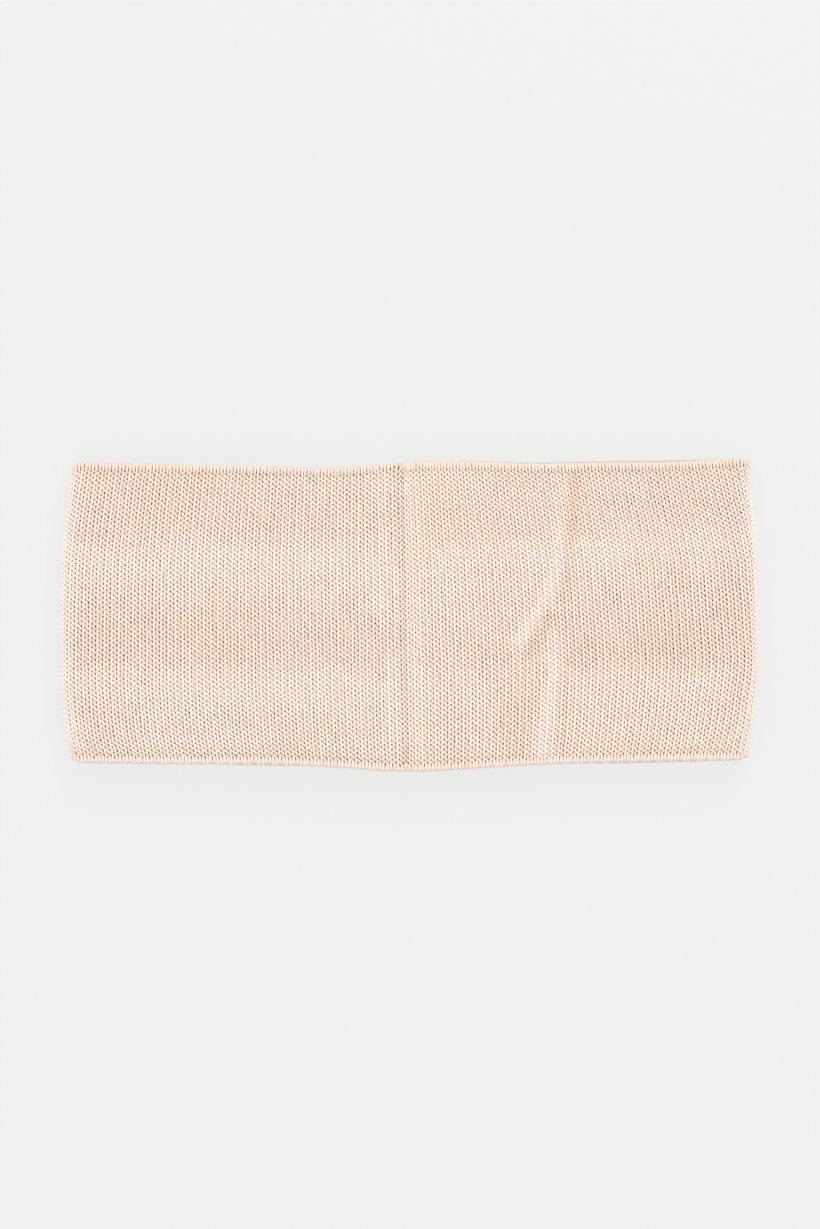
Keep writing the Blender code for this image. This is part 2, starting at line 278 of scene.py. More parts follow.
class SeamSizes(bpy.types.PropertyGroup):
    offset: bpy.props.FloatProperty(
        name="Place", description="Distance of the seam from the middle of the band",
        default=-0.0020, unit="LENGTH")
    lean: bpy.props.FloatProperty(
        name="Lean", description="How far the seam leans to the right from its middle to its end",
        default=0.0009, unit="LENGTH")
    allowance: bpy.props.FloatProperty(
        name="Allowance", description="Width of the turned-in cloth on each side",
        default=0.0055, min=0.001, unit="LENGTH")
    ply: bpy.props.FloatProperty(
        name="Turned-in Thickness", description="Thickness of the turned-in cloth, pressed flat",
        default=0.0016, min=0.0005, unit="LENGTH")
    groove_depth: bpy.props.FloatProperty(
        name="Groove Depth", description="How far the cloth dips along the seam",
        default=0.0004, unit="LENGTH")
    groove_reach: bpy.props.FloatProperty(
        name="Groove Reach", description="Half width of that dip",
        default=0.0014, min=0.0002, unit="LENGTH")
    shoulder_rise: bpy.props.FloatProperty(
        name="Shoulder Rise", description="How far the turned-in cloth lifts the layer beside it",
        default=0.0006, unit="LENGTH")
    shoulder_reach: bpy.props.FloatProperty(
        name="Shoulder Reach", description="Half width of each lifted shoulder",
        default=0.0026, min=0.0002, unit="LENGTH")
    turn_radius: bpy.props.FloatProperty(
        name="Turn Radius", description="How sharply the cloth turns in at the seam",
        default=0.0005, min=0.0002, unit="LENGTH")
    half_slot: bpy.props.FloatProperty(
        name="Half Slot", description="From the seam's line to the middle of the turned cloth",
        default=0.00025, min=0.0, unit="LENGTH")
    squeeze: bpy.props.FloatProperty(
        name="Squeeze", description="How much narrower the columns are just right of the seam",
        default=0.28, min=0.0, max=0.8, subtype="FACTOR")
    squeeze_reach: bpy.props.FloatProperty(
        name="Squeeze Reach", description="How far from the seam they are narrower",
        default=0.0055, min=0.0001, unit="LENGTH")


class KnitSizes(bpy.types.PropertyGroup):
    wales: bpy.props.IntProperty(
        name="Wales", description="Columns of stitches all the way round", default=202, min=20)
    courses: bpy.props.IntProperty(
        name="Courses", description="Rows of stitches between the rolled edges", default=61, min=5)
    yarn: bpy.props.FloatProperty(
        name="Yarn", description="Thickness of the yarn",
        default=0.00080, min=0.0001, precision=5, unit="LENGTH")
    sway: bpy.props.FloatProperty(
        name="Sway", description="Sideways swing of a loop's legs, as a share of a stitch",
        default=0.26, min=0.0, subtype="FACTOR")
    reach: bpy.props.FloatProperty(
        name="Reach", description="How far a loop reaches up and down, as a share of a course",
        default=0.84, min=0.1)
    depth: bpy.props.FloatProperty(
        name="Loop Depth", description="How far a loop's ends lie behind its legs, halved",
        default=0.00042, min=0.0, precision=5, unit="LENGTH")
    fullness: bpy.props.FloatProperty(
        name="Leg Fullness", description="How much thicker a loop's legs are than its ends",
        default=0.10, min=0.0, max=0.5, subtype="FACTOR")
    closing: bpy.props.FloatProperty(
        name="Closing", description="How much thicker the yarn looks where stitches are pressed",
        default=0.32, min=0.0, subtype="FACTOR")
    unevenness: bpy.props.FloatProperty(
        name="Unevenness", description="How far hand and machine let a stitch stray",
        default=0.14, min=0.0, subtype="FACTOR")
    seed: bpy.props.IntProperty(
        name="Seed", description="Fixes the chance in the stitches", default=7)


class KnitColours(bpy.types.PropertyGroup):
    face: bpy.props.FloatVectorProperty(
        name="Yarn", description="Colour of the yarn on the face of the cloth",
        default=(0.918, 0.798, 0.704), subtype="COLOR", size=3, min=0, max=1)
    # Painted shade: darker than the face yarn, to temper the strong light on the rolled edges.
    edge: bpy.props.FloatVectorProperty(
        name="Edge Yarn", description="Colour of the yarn that wraps the rolled edges",
        default=(0.645, 0.56, 0.515), subtype="COLOR", size=3, min=0, max=1)
    # Painted shade: the colour that loops take as they sink, and the colour of the ground.
    depth_shade: bpy.props.FloatVectorProperty(
        name="Depths", description="Colour of the yarn between the loops",
        default=(0.40, 0.262, 0.165), subtype="COLOR", size=3, min=0, max=1)
    # Painted shade: the orange colour of the shaded yarn beside the edges, the seam and the
    # creases.
    warm: bpy.props.FloatVectorProperty(
        name="Warm Edge", description="Colour of the yarn beside the edges and the seam",
        default=(0.60, 0.31, 0.13), subtype="COLOR", size=3, min=0, max=1)


class StageLook(bpy.types.PropertyGroup):
    floor: bpy.props.FloatVectorProperty(
        name="Floor", description="Colour of the floor",
        default=(0.10, 0.10, 0.10), subtype="COLOR", size=3, min=0, max=1)
    floor_glow: bpy.props.FloatProperty(
        name="Floor Glow", description="Light that the white table gives by itself",
        default=0.748, min=0.0)
    sky: bpy.props.FloatProperty(
        name="Sky", description="Strength of the even light from all round",
        default=1.030, min=0.0)
    window: bpy.props.FloatProperty(
        name="Window", description="Power of the wide soft light",
        default=8.0, min=0.0, unit="POWER")
    fill: bpy.props.FloatProperty(
        name="Fill", description="Power of the low light opposite the window",
        default=2.5, min=0.0, unit="POWER")
    camera_height: bpy.props.FloatProperty(
        name="Camera Height", description="Height of the camera above the table",
        default=1.60, min=0.5, unit="LENGTH")


def through_rows(rows, key, column, places):
    """The values of a table's column at some places, on a smooth curve through its rows."""
    keys = np.array([getattr(row, key) for row in rows], float)
    values = np.array([getattr(row, column) for row in rows], float)
    last = len(keys) - 1
    ahead = np.minimum(np.arange(last + 1) + 1, last)
    behind = np.maximum(np.arange(last + 1) - 1, 0)
    slopes = (values[ahead] - values[behind]) / (keys[ahead] - keys[behind])
    places = np.clip(places, keys[0], keys[-1])
    i = np.clip(np.searchsorted(keys, places, side="right") - 1, 0, last - 1)
    span = keys[i + 1] - keys[i]
    share = (places - keys[i]) / span
    square, cube = share**2, share**3
    return (
        (2 * cube - 3 * square + 1) * values[i]
        + (cube - 2 * square + share) * span * slopes[i]
        + (3 * square - 2 * cube) * values[i + 1]
        + (cube - square) * span * slopes[i + 1]
    )


def bell(distance, reach):
    """A smooth bump of height 1 that has nearly died away at twice its reach."""
    return np.exp(-((distance / reach) ** 2))


class BandSurface:
    """The middle surface of the cloth. arc is the way round the band in metres, from the seam to
    the right, over the right fold, back underneath, over the left fold and back to the seam."""

    def __init__(self, scene):
        self.band = scene.band_sizes
        self.seam = scene.seam_sizes
        self.half_span = (self.band.flat_width - self.band.wall) / 2
        self.fold_radius = (self.band.layer_gap + self.band.wall) / 2
        self.straight = self.half_span - self.fold_radius
        bend = math.pi * self.fold_radius
        self.corners = np.cumsum(
            [self.straight - self.seam.offset, bend, 2 * self.straight, bend,
             self.straight + self.seam.offset])
        self.round = float(self.corners[-1])
        self.inset = self.band.roll - self.band.tuck

    def section(self, arc):
        """Across, height and front share at places round the band."""
        a, b, c, d, _ = self.corners
        r, s = self.fold_radius, self.straight
        right = np.clip((arc - a) / r, 0, math.pi)
        left = np.clip((arc - c) / r, 0, math.pi)
        across = np.where(arc < a, self.seam.offset + arc, s + r * np.sin(right))
        across = np.where(arc > b, s - (arc - b), across)
        across = np.where(arc > c, -s - r * np.sin(left), across)
        across = np.where(arc > d, -s + (arc - d), across)
        height = np.where(arc < (b + c) / 2, r * (1 + np.cos(right)), r * (1 - np.cos(left)))
        return across, height, height / (2 * r)

    def edge(self, across, front, upper):
        """How far the upper or the lower edge is from the middle line."""
        columns = ("top_front", "top_back") if upper else ("low_front", "low_back")
        on_front, on_back = (through_rows(EDGES, "across", c, across) for c in columns)
        from_fold = self.half_span * (1 - np.abs(across))
        rounded = self.band.corner * bell(from_fold, self.band.corner_reach)
        return self.band.height * (on_back + (on_front - on_back) * front) - rounded

    def away_from(self, row, x, y):
        """How far places are from the line of a row of CREASES or PRESSES_LIGHT_AND_SHADE."""
        half = np.array([self.band.flat_width / 2, self.band.height / 2])
        start = half * (row.across_1, row.up_1)
        way = half * (row.across_2, row.up_2) - start
        along = ((x - start[0]) * way[0] + (y - start[1]) * way[1]) / (way @ way)
        along = np.clip(along, 0, 1)
        return np.hypot(x - start[0] - along * way[0], y - start[1] - along * way[1])

    def crease_depth(self, x, y):
        """How far the creases sink the upper layer at some places."""
        deepest = np.zeros_like(x)
        soft = self.band.crease_softness
        for crease in CREASES:
            away = self.away_from(crease, x, y)
            fade = np.exp((soft - np.hypot(away, soft)) / (crease.reach * self.band.height))
            deepest = np.maximum(deepest, crease.depth * self.band.layer_gap * fade)
        return deepest

    def pressed(self, places, column):
        """How strongly a column of the rows of pressing with painted light and of painted shade
        acts at some places of the upper layer.
        """
        strength = np.zeros(places.shape[:-1])
        for row in PRESSES_LIGHT_AND_SHADE:
            away = self.away_from(row, places[..., 0], places[..., 1])
            near = getattr(row, column) * bell(away, row.reach * self.band.height)
            strength = np.maximum(strength, near)
        above_middle = places[..., 2] - self.band.wall / 2 - self.fold_radius
        return strength * np.clip(2 * above_middle / self.fold_radius, 0, 1)

    def lean(self, across, up):
        """How far the columns of stitches have wandered to the left at a place."""
        upper, middle, lower = (
            through_rows(LEANS, "across", c, across) for c in ("upper", "middle", "lower"))
        third = 1 / 3
        rise = np.clip(up, -third, third) * middle
        rise += np.clip(up - third, 0, None) * upper + np.clip(up + third, None, 0) * lower
        return rise * self.band.height / 2

    def places(self, arc, up):
        """Places on the cloth. up is -1 at the lower edge and 1 at the upper one."""
        seam = self.seam
        across, height, front = self.section(arc)
        share = across / self.half_span
        right, left = (through_rows(SIDES, "up", side, up) for side in ("right", "left"))
        beside = np.clip(1 - np.abs(across - seam.offset) / self.half_span, 0, None)
        x = across * np.where(across > 0, right, left) - seam.lean * up * beside * front
        top = self.edge(share, front, True) - self.inset
        low = self.edge(share, front, False) - self.inset
        y = (top - low) / 2 + up * (top + low) / 2
        away = np.abs(x - seam.offset + seam.lean * up)
        relief = seam.shoulder_rise * bell(away - seam.allowance, seam.shoulder_reach)
        relief = relief - seam.groove_depth * bell(away, seam.groove_reach)
        relief = relief - self.crease_depth(x, y)
        lifted = np.clip(2 * front - 1, 0, None) ** 2
        z = self.band.wall / 2 + height + relief * lifted
        return np.stack([x, y, z], axis=-1)

    def knitted(self, turns, up):
        """Places on the cloth for a share of the way round, with the columns' lean and both ends
        turned in at the seam."""
        slot, bend = self.seam.half_slot, self.seam.turn_radius
        start = slot + bend * (1 - math.pi / 2) - self.band.wall / 2
        reach = self.seam.squeeze_reach / self.round
        near = np.exp(-np.clip(turns, 0, None) / reach)
        turns = turns - self.seam.squeeze * reach * (1 - near - turns)
        arc = start + turns * (self.round - 2 * start)
        across, _, _ = self.section(np.clip(arc, 0, self.round))
        share = across / self.half_span
        underneath = (arc > self.corners[1]) & (arc < self.corners[2])
        wander = self.lean(np.where(underneath, np.sign(share), share), up)
        wander = wander * np.where(underneath, np.abs(share), 1.0)
        from_seam = np.minimum(arc, self.round - arc)
        wander = wander * np.clip(from_seam / (LEAN_FADE * bend) - LEAN_START, 0, 1)
        arc = arc - wander
        away = np.minimum(arc, self.round - arc)
        turn = np.clip((slot + bend - away) / bend, 0, None)
        curl = np.minimum(turn, math.pi / 2)
        moved_on = np.where(turn > 0, slot + bend - bend * np.sin(curl), away)
        sunk = bend * (1 - np.cos(curl)) + bend * np.clip(turn - math.pi / 2, 0, None)
        ring = self.places(np.where(arc < self.round / 2, moved_on, self.round - moved_on), up)
        ring[..., 2] -= sunk
        return ring


def grid_mesh(name, places, outwards, upwards, warmth, pressed=None):
    """A mesh over a grid of places, with a map that counts across it from 0 to 1 each way."""
    columns, rows = places.shape[:2]
    index = np.arange(columns * rows).reshape(columns, rows)
    quads = np.stack(
        [index[:-1, :-1], index[1:, :-1], index[1:, 1:], index[:-1, 1:]], axis=-1).reshape(-1, 4)
    mesh = bpy.data.meshes.new(name)
    mesh.from_pydata(places.reshape(-1, 3).tolist(), [], quads.tolist())
    u, v = np.meshgrid(np.linspace(0, 1, columns), np.linspace(0, 1, rows), indexing="ij")
    corner = quads.reshape(-1)
    layer = mesh.uv_layers.new(name="stitch_map")
    layer.data.foreach_set("uv", np.stack([u.flat[corner], v.flat[corner]], -1).ravel())
    for key, values in (("outwards", outwards), ("upwards", upwards)):
        attribute = mesh.attributes.new(key, VECTOR, "POINT")
        attribute.data.foreach_set("vector", values.reshape(-1))
    pressed = np.zeros(warmth.shape) if pressed is None else pressed
    for key, values in (("warmth", warmth), ("pressed", pressed)):
        attribute = mesh.attributes.new(key, "FLOAT", "POINT")
        attribute.data.foreach_set("value", values.reshape(-1))
    mesh.update()
    return mesh


def unit(vectors):
    """Vectors brought to a length of 1."""
    return vectors / np.maximum(np.linalg.norm(vectors, axis=-1, keepdims=True), 1e-12)


def frames(places):
    """Outward and upward directions of a grid of places."""
    onward, upward = np.gradient(places, axis=0), np.gradient(places, axis=1)
    return unit(np.cross(onward, upward)), unit(upward)


def warm_shade_beside_edges(stitch, course, knit):
    """Orange painted shade beside the edges and the seam, counted in stitches and courses."""
    from_edge = np.minimum(course, knit.courses - course)
    from_seam = np.minimum(stitch, knit.wales - stitch)
    beside_edge = WARM_EDGE.share * bell(from_edge - WARM_EDGE.at, WARM_EDGE.reach)
    beside_seam = WARM_SEAM.share * bell(from_seam - WARM_SEAM.at, WARM_SEAM.reach)
    return np.maximum(beside_edge, beside_seam)


def map_grid(wales, courses, columns_a_stitch=COLUMNS_A_STITCH):
    """The stitch and the course at each point of a map a little larger than the knitting."""
    columns = (wales + 2 * MAP_MARGIN) * columns_a_stitch + 1
    stitch = np.linspace(-MAP_MARGIN, wales + MAP_MARGIN, columns)
    course = np.linspace(-MAP_MARGIN, courses + MAP_MARGIN, courses + 2 * MAP_MARGIN + 1)
    return np.meshgrid(stitch, course, indexing="ij")


def cloth_mesh(surface, knit, columns_a_stitch=COLUMNS_A_STITCH):
    """The surface that carries the yarn of the band."""
    stitch, course = map_grid(knit.wales, knit.courses, columns_a_stitch)
    places = surface.knitted(stitch / knit.wales, 2 * course / knit.courses - 1)
    outwards, upwards = frames(places)
    # Orange painted shade by the edges, seam and creases, and pressing with its painted light.
    warm = np.maximum(warm_shade_beside_edges(stitch, course, knit), surface.pressed(places, "warm"))
    return grid_mesh(
        "cloth surface", places, outwards, upwards, warm, surface.pressed(places, "closed"))


class Value:
    """What a node gives. Numbers and vectors can be added and multiplied as usual, and each sum
    makes its own node."""

    def __init__(self, socket):
        self.socket = socket
        self.tree = socket.id_data

    def __add__(self, other):
        return sums("ADD", self, other)

    def __sub__(self, other):
        return sums("SUBTRACT", self, other)

    def __rsub__(self, other):
        return sums("SUBTRACT", other, self)

    def __mul__(self, other):
        return sums("MULTIPLY", self, other)

    def __truediv__(self, other):
        return sums("DIVIDE", self, other)

    def __rtruediv__(self, other):
        return sums("DIVIDE", other, self)


def add_node(tree, kind, inputs=None, output=0, **settings):
    """A new node's output, or nothing if it has none. Its inputs may be values of other nodes."""
    node = tree.nodes.new(kind)
    for key, value in settings.items():
        setattr(node, key, value)
    for key, value in (inputs or {}).items():
        if isinstance(value, Value):
            tree.links.new(value.socket, node.inputs[key])
        else:
            node.inputs[key].default_value = value
    return Value(node.outputs[output]) if node.outputs else None


def sums(operation, *terms):
    """The result of a Math node, or of a Vector Math node if the first value is a vector."""
    first = next(term for term in terms if isinstance(term, Value))
    kind, inputs, output = "ShaderNodeMath", dict(enumerate(terms)), 0
    if first.socket.type in {"VECTOR", "RGBA"}:
        kind, output = "ShaderNodeVectorMath", "Value" if operation == "DOT_PRODUCT" else "Vector"
        if operation == "MULTIPLY" and not isinstance(terms[1], tuple):
            operation, inputs = "SCALE", {0: first, "Scale": terms[1]}
    return add_node(first.tree, kind, inputs, output, operation=operation)


def ranged(value, low, high, to_low=0.0, to_high=1.0, kind="LINEAR"):
    """A value led from one range to another, which it doesn't leave."""
    inputs = {
        "Value": value, "From Min": low, "From Max": high, "To Min": to_low, "To Max": to_high}
    return add_node(value.tree, "ShaderNodeMapRange", inputs, interpolation_type=kind)


def point(tree, x, y=0.0):
    """A vector with no third part."""
    return add_node(tree, "ShaderNodeCombineXYZ", {0: x, 1: y})


def split(vector):
    """The three parts of a vector."""
    first = add_node(vector.tree, "ShaderNodeSeparateXYZ", {0: vector})
    return [Value(socket) for socket in first.socket.node.outputs]


def position(tree):
    """Where each point is."""
    return add_node(tree, "GeometryNodeInputPosition")


def stored(geometry, name, value, data_type="FLOAT"):
    """Geometry with a value kept on its points under a name."""
    return add_node(
        geometry.tree, "GeometryNodeStoreNamedAttribute",
        {"Geometry": geometry, "Name": name, "Value": value}, data_type=data_type, domain="POINT")


def kept(tree, name, data_type="FLOAT"):
    """A value that was stored under a name."""
    return add_node(
        tree, "GeometryNodeInputNamedAttribute", {"Name": name}, "Attribute", data_type=data_type)


def moved(geometry, places):
    """Geometry with its points at new places."""
    inputs = {"Geometry": geometry, "Position": places}
    return add_node(geometry.tree, "GeometryNodeSetPosition", inputs)


def row_of_points(tree, count, step):
    """A curve of points a step apart, along X."""
    line = add_node(
        tree, "GeometryNodeMeshLine", {"Count": count, "Offset": point(tree, step)}, mode="OFFSET")
    return add_node(tree, "GeometryNodeMeshToCurve", {"Mesh": line})


def copies(curve, amount):
    """Copies of a curve, and the number of each."""
    many = add_node(
        curve.tree, "GeometryNodeDuplicateElements", {"Geometry": curve, "Amount": amount},
        domain="SPLINE")
    return many, Value(many.socket.node.outputs["Duplicate Index"])


def map_spot(given, wale, course):
    """The spot of the cloth's map where a wale and a course are."""
    shares = [
        (place + float(MAP_MARGIN)) / (size + 2.0 * MAP_MARGIN)
        for place, size in ((wale, given["Map Wales"]), (course, given["Map Courses"]))]
    return point(wale.tree, *shares)


def with_cloth(geometry, given, spot, names, data_type=VECTOR):
    """Geometry that keeps what the cloth's surface holds at a spot of its map, or its place."""
    tree = geometry.tree
    for name, source in names:
        value = position(tree) if source == "place" else kept(tree, source, data_type)
        found = add_node(
            tree, "GeometryNodeSampleUVSurface",
            {"Mesh": given["Cloth"], "Value": value, "UV Map": kept(tree, "stitch_map", VECTOR),
             "Sample UV": spot}, "Value", data_type=data_type)
        geometry = stored(geometry, name, found, data_type)
    return geometry


def chance(where, given, scale=1.0):
    """Three smooth chance values at some places, each about 0 and between -0.5 and 0.5."""
    noise = add_node(
        where.tree, "ShaderNodeTexNoise",
        {"Vector": where, "W": given["Seed"], "Scale": scale, "Detail": 0.0}, "Color",
        noise_dimensions="4D")
    return noise - (0.5, 0.5, 0.5)


def new_tree(name, sockets):
    """An empty Geometry Nodes tree with named inputs, and their values by name."""
    tree = bpy.data.node_groups.new(name, "GeometryNodeTree")
    tree.is_modifier = True
    tree.interface.new_socket("Cloth", in_out="INPUT", socket_type="NodeSocketGeometry")
    for socket_name, kind, default in sockets:
        socket = tree.interface.new_socket(
            socket_name, in_out="INPUT", socket_type="NodeSocket" + kind)
        if default is not None:
            socket.default_value = default
    tree.interface.new_socket("Knitting", in_out="OUTPUT", socket_type="NodeSocketGeometry")
    given = tree.nodes.new("NodeGroupInput").outputs
    return tree, {socket.name: Value(socket) for socket in given if socket.name}


def finish_tree(geometry, given):
    """Smooth shading, plain geometry and the yarn's material, then the tree's output."""
    tree = geometry.tree
    smooth = add_node(tree, "GeometryNodeSetShadeSmooth", {"Geometry": geometry})
    real = add_node(tree, "GeometryNodeRealizeInstances", {"Geometry": smooth})
    finished = add_node(
        tree, "GeometryNodeSetMaterial", {"Geometry": real, "Material": given["Material"]})
    add_node(tree, "NodeGroupOutput", {0: finished})


def yarn_tube(curves, outwards, radius, sides, across=1.0):
    """A yarn along curves. Its profile faces outwards. One that is wider across than it is thick
    has flattened sides, as where loops press against each other."""
    tree = curves.tree
    upright = add_node(
        tree, "GeometryNodeSetCurveNormal", {"Curve": curves, "Normal": outwards}, mode="FREE")
    sized = add_node(tree, "GeometryNodeSetCurveRadius", {"Curve": upright, "Radius": radius})
    circle = add_node(
        tree, "GeometryNodeCurvePrimitiveCircle", {"Resolution": sides, "Radius": 1.0},
        mode="RADIUS")
    ring = stored(circle, "around", position(tree), VECTOR)
    if across != 1.0:
        square = [
            sums("POWER", sums("ABSOLUTE", place), FLATTENED) * sums("SIGN", place) * stretch
            for place, stretch in zip(split(position(tree)), (1.0, across))]
        ring = moved(ring, point(tree, *square))
    inputs = {"Curve": sized, "Profile Curve": ring, "Fill Caps": True}
    tube = add_node(tree, "GeometryNodeCurveToMesh", inputs)
    if "Scale" in tube.socket.node.inputs:
        tree.links.new(radius.socket, tube.socket.node.inputs["Scale"])
    return tube


def knit_tree():
    """Courses of yarn loops on a cloth's surface."""
    tree, given = new_tree("yarn loops", (
        ("First Wale", "Float", 0.0), ("Wales", "Int", 10), ("First Course", "Float", 0.0),
        ("Courses", "Int", 10), ("Map Wales", "Float", 10.0), ("Map Courses", "Float", 10.0),
        ("Points", "Int", 8), ("Sides", "Int", 4), ("Yarn", "Float", 0.001),
        ("Sway", "Float", 0.2), ("Reach", "Float", 0.95), ("Depth", "Float", 0.0004),
        ("Fullness", "Float", 0.12), ("Closing", "Float", 0.2), ("Unevenness", "Float", 0.1),
        ("Seed", "Int", 0), ("Material", "Material", None)))
    line = row_of_points(tree, given["Wales"] * given["Points"] + 1.0, 1.0 / given["Points"])
    geometry, number = copies(line, given["Courses"])
    wale = split(position(tree))[0] + given["First Wale"]
    counted = point(tree, wale, number + given["First Course"])
    geometry = stored(geometry, "counted", counted, VECTOR)
    counted = kept(tree, "counted", VECTOR)
    wale, row, _ = split(counted)
    turn = wale * (2 * math.pi)
    twice = turn * 2.0

    stray = chance(counted * STRAY_FINE, given) + chance(counted * STRAY_BROAD, given)
    stray = split(stray * given["Unevenness"])
    across = wale + sums("SINE", twice) * given["Sway"] + stray[0]
    up = row + 0.5 + sums("COSINE", turn) * given["Reach"] + stray[1]
    spot = map_spot(given, across, up)
    geometry = with_cloth(geometry, given, spot, (("facing", "outwards"), ("spot", "place")))
    # Each point takes the orange painted shade and the painted light of the cloth beneath.
    geometry = with_cloth(
        geometry, given, spot, (("warmth", "warmth"), ("pressed", "pressed")), "FLOAT")
    # How far each point lies in from the face, which also sets its painted shade.
    geometry = stored(geometry, "inward", sums("COSINE", twice))
    inward, facing = kept(tree, "inward"), kept(tree, "facing", VECTOR)
    lift = stray[2] * given["Depth"] - inward * given["Depth"]
    geometry = moved(geometry, kept(tree, "spot", VECTOR) + facing * lift)
    plump = 1.0 - inward * given["Fullness"] + stray[0]
    plump = plump + kept(tree, "pressed") * given["Closing"]
    tube = yarn_tube(geometry, facing, plump * (given["Yarn"] * 0.5), given["Sides"])
    finish_tree(tube, given)
    return tree


def wrap_tree():
    """Loops of yarn that wrap over a rolled edge, two legs for each wale, round a core of yarn."""
    tree, given = new_tree("edge wraps", (
        ("First Wale", "Float", 0.0), ("Wales", "Int", 10), ("Course", "Float", 0.0),
        ("Map Wales", "Float", 10.0), ("Map Courses", "Float", 10.0), ("Upper", "Float", 1.0),
        ("Points", "Int", 12), ("Sides", "Int", 8), ("Yarn", "Float", 0.001),
        ("Roll", "Float", 0.0024), ("Centre", "Float", 0.001), ("Overlap", "Float", 0.9),
        ("Scallop", "Float", 0.0), ("Core", "Float", 0.7), ("Gap Start", "Float", 0.6),
        ("Gap End", "Float", 1.0), ("Shade", "Float", 1.0), ("Unevenness", "Float", 0.1),
        ("Seed", "Int", 0), ("Material", "Material", None)))
    upper, roll, yarn = given["Upper"], given["Roll"], given["Yarn"]
    line = row_of_points(tree, given["Points"], 1.0 / (given["Points"] - 1.0))
    geometry, number = copies(line, given["Wales"] * 2.0)
    walked = split(position(tree))[0]
    half = sums("MODULO", number, 2.0)
    spread = sums("MAXIMUM", walked - 0.5, 0.0)
    pull = (half * (2.0 * PAIRED) - PAIRED) * (spread * -2.0 + 1.0)
    wale = pull + (number * 0.5 + 0.25) + given["First Wale"]
    geometry = stored(geometry, "counted", point(tree, wale, walked), VECTOR)
    geometry = stored(geometry, "leg", half * 2.0 - 1.0)
    wale, way, _ = split(kept(tree, "counted", VECTOR))
    stray = split(chance(point(tree, wale), given, STRAY_WRAPS) * given["Unevenness"])
    bow = way - 0.5
    across = wale + stray[0] + bow * WRAP_SLANT
    held = (("facing", "outwards"), ("rising", "upwards"), ("spot", "place"))
    geometry = with_cloth(geometry, given, map_spot(given, across, given["Course"]), held)
    facing, spot = kept(tree, "facing", VECTOR), kept(tree, "spot", VECTOR)
    rising = kept(tree, "rising", VECTOR) * upper
    turn = bow * WRAP_TURN
    ahead = sums("COSINE", turn)
    ahead = ahead + sums("MINIMUM", ahead, 0.0) * given["Overlap"]
    geometry = stored(geometry, "ray", facing * sums("SINE", turn) + rising * ahead, VECTOR)
    ray = kept(tree, "ray", VECTOR)
    wave = sums("SINE", wale * math.pi)
    out = given["Centre"] + (wave * given["Scallop"] + stray[1] * yarn)
    geometry = moved(geometry, spot + rising * out + ray * (roll * 0.5 - yarn * 0.5))
    plump = stray[2] * WRAP_UNEVENNESS + (1.0 - bow * bow * WRAP_SLIMMING)
    # Orange painted shade grows over the second half of each leg's way.
    geometry = stored(geometry, "warmth", bow * 2.0)
    wraps = yarn_tube(geometry, ray, plump * (yarn * 0.5), given["Sides"], WRAP_WIDTH)

    # Painted shade tempers the strong light on the roll: the far part of each leg is greyer,
    # and so is the near one at the lower edge.
    near_shade = upper * -0.15 + 0.15
    outer = ranged(way, OUTER_FROM, OUTER_TO, near_shade, given["Shade"])
    wraps = stored(wraps, "outer", outer)

    # Painted shade darkens the flanks of the legs where two of them part.
    side = kept(tree, "leg") * upper * split(kept(tree, "around", VECTOR))[1]
    gaps = []
    for turned, late in ((1.0, 0.0), (-1.0, FAR_SIDE_LATE)):
        near = sums("MAXIMUM", side * turned, 0.0)
        begin = given["Gap Start"] + late
        gaps.append(near * near * ranged(way, begin, begin + GAP_OPENING))
    ended = ranged(way, given["Gap End"] - GAP_CLOSING, given["Gap End"], 1.0, 0.0)
    gap = sums("MAXIMUM", gaps[0] * ended, gaps[1])
    wraps = stored(wraps, "inward", gap * GAP_SHADE + LEG_SHADE)

    # Painted shade darkens the core beside the cloth, and it is pale on its way out.
    line = row_of_points(tree, given["Wales"] + 1.0, 1.0)
    course = map_spot(given, split(position(tree))[0], given["Course"])
    core = with_cloth(line, given, course, held)
    thickness = roll * given["Core"]
    out = (roll * CORE_END - thickness) * 0.5 + given["Centre"]
    core = yarn_tube(moved(core, spot + rising * out), facing, thickness * 0.5, CORE_SIDES)
    from_cloth = sums("DOT_PRODUCT", kept(tree, "rising", VECTOR), position(tree) - spot)
    sheltered = ranged(
        from_cloth * upper / roll, upper * 0.1 + 0.45, upper * 0.1 + 0.2, -0.3, 1.0)
    for name, value in (("inward", sheltered), ("warmth", 1.0), ("outer", CORE_SHADE)):
        core = stored(core, name, value)
    both = add_node(tree, "GeometryNodeJoinGeometry", {0: core})
    tree.links.new(wraps.socket, both.socket.node.inputs[0])
    finish_tree(both, given)
    return tree


def grow(name, carrier, tree, values):
    """Run a Geometry Nodes tree on a surface and keep its result as a plain mesh object."""
    worker = bpy.data.objects.new(name + " worker", carrier)
    bpy.context.scene.collection.objects.link(worker)
    modifier = worker.modifiers.new("grow", "NODES")
    modifier.node_group = tree
    sockets = {
        item.name: item.identifier for item in tree.interface.items_tree
        if item.item_type == "SOCKET" and item.in_out == "INPUT"}
    for key, value in values.items():
        modifier[sockets[key]] = value
    depsgraph = bpy.context.evaluated_depsgraph_get()
    mesh = bpy.data.meshes.new_from_object(worker.evaluated_get(depsgraph))
    worker.modifiers.remove(modifier)
    bpy.data.objects.remove(worker)
    if not mesh.polygons:
        raise RuntimeError(name + ": the tree made no faces")
    mesh.name = name
    return linked(name, mesh)


def linked(name, data):
    """A new object in the scene."""
    made = bpy.data.objects.new(name, data)
    bpy.context.scene.collection.objects.link(made)
    return made


def new_material(name):
    """A material with an empty tree, and the tree."""
    material = bpy.data.materials.new(name)
    material.use_nodes = True
    material.node_tree.nodes.clear()
    return material, material.node_tree


def finish_material(tree, inputs):
    """A shader with its inputs, and the tree's output."""
    shader = add_node(tree, "ShaderNodeBsdfPrincipled", inputs)
    add_node(tree, "ShaderNodeOutputMaterial", {0: shader})


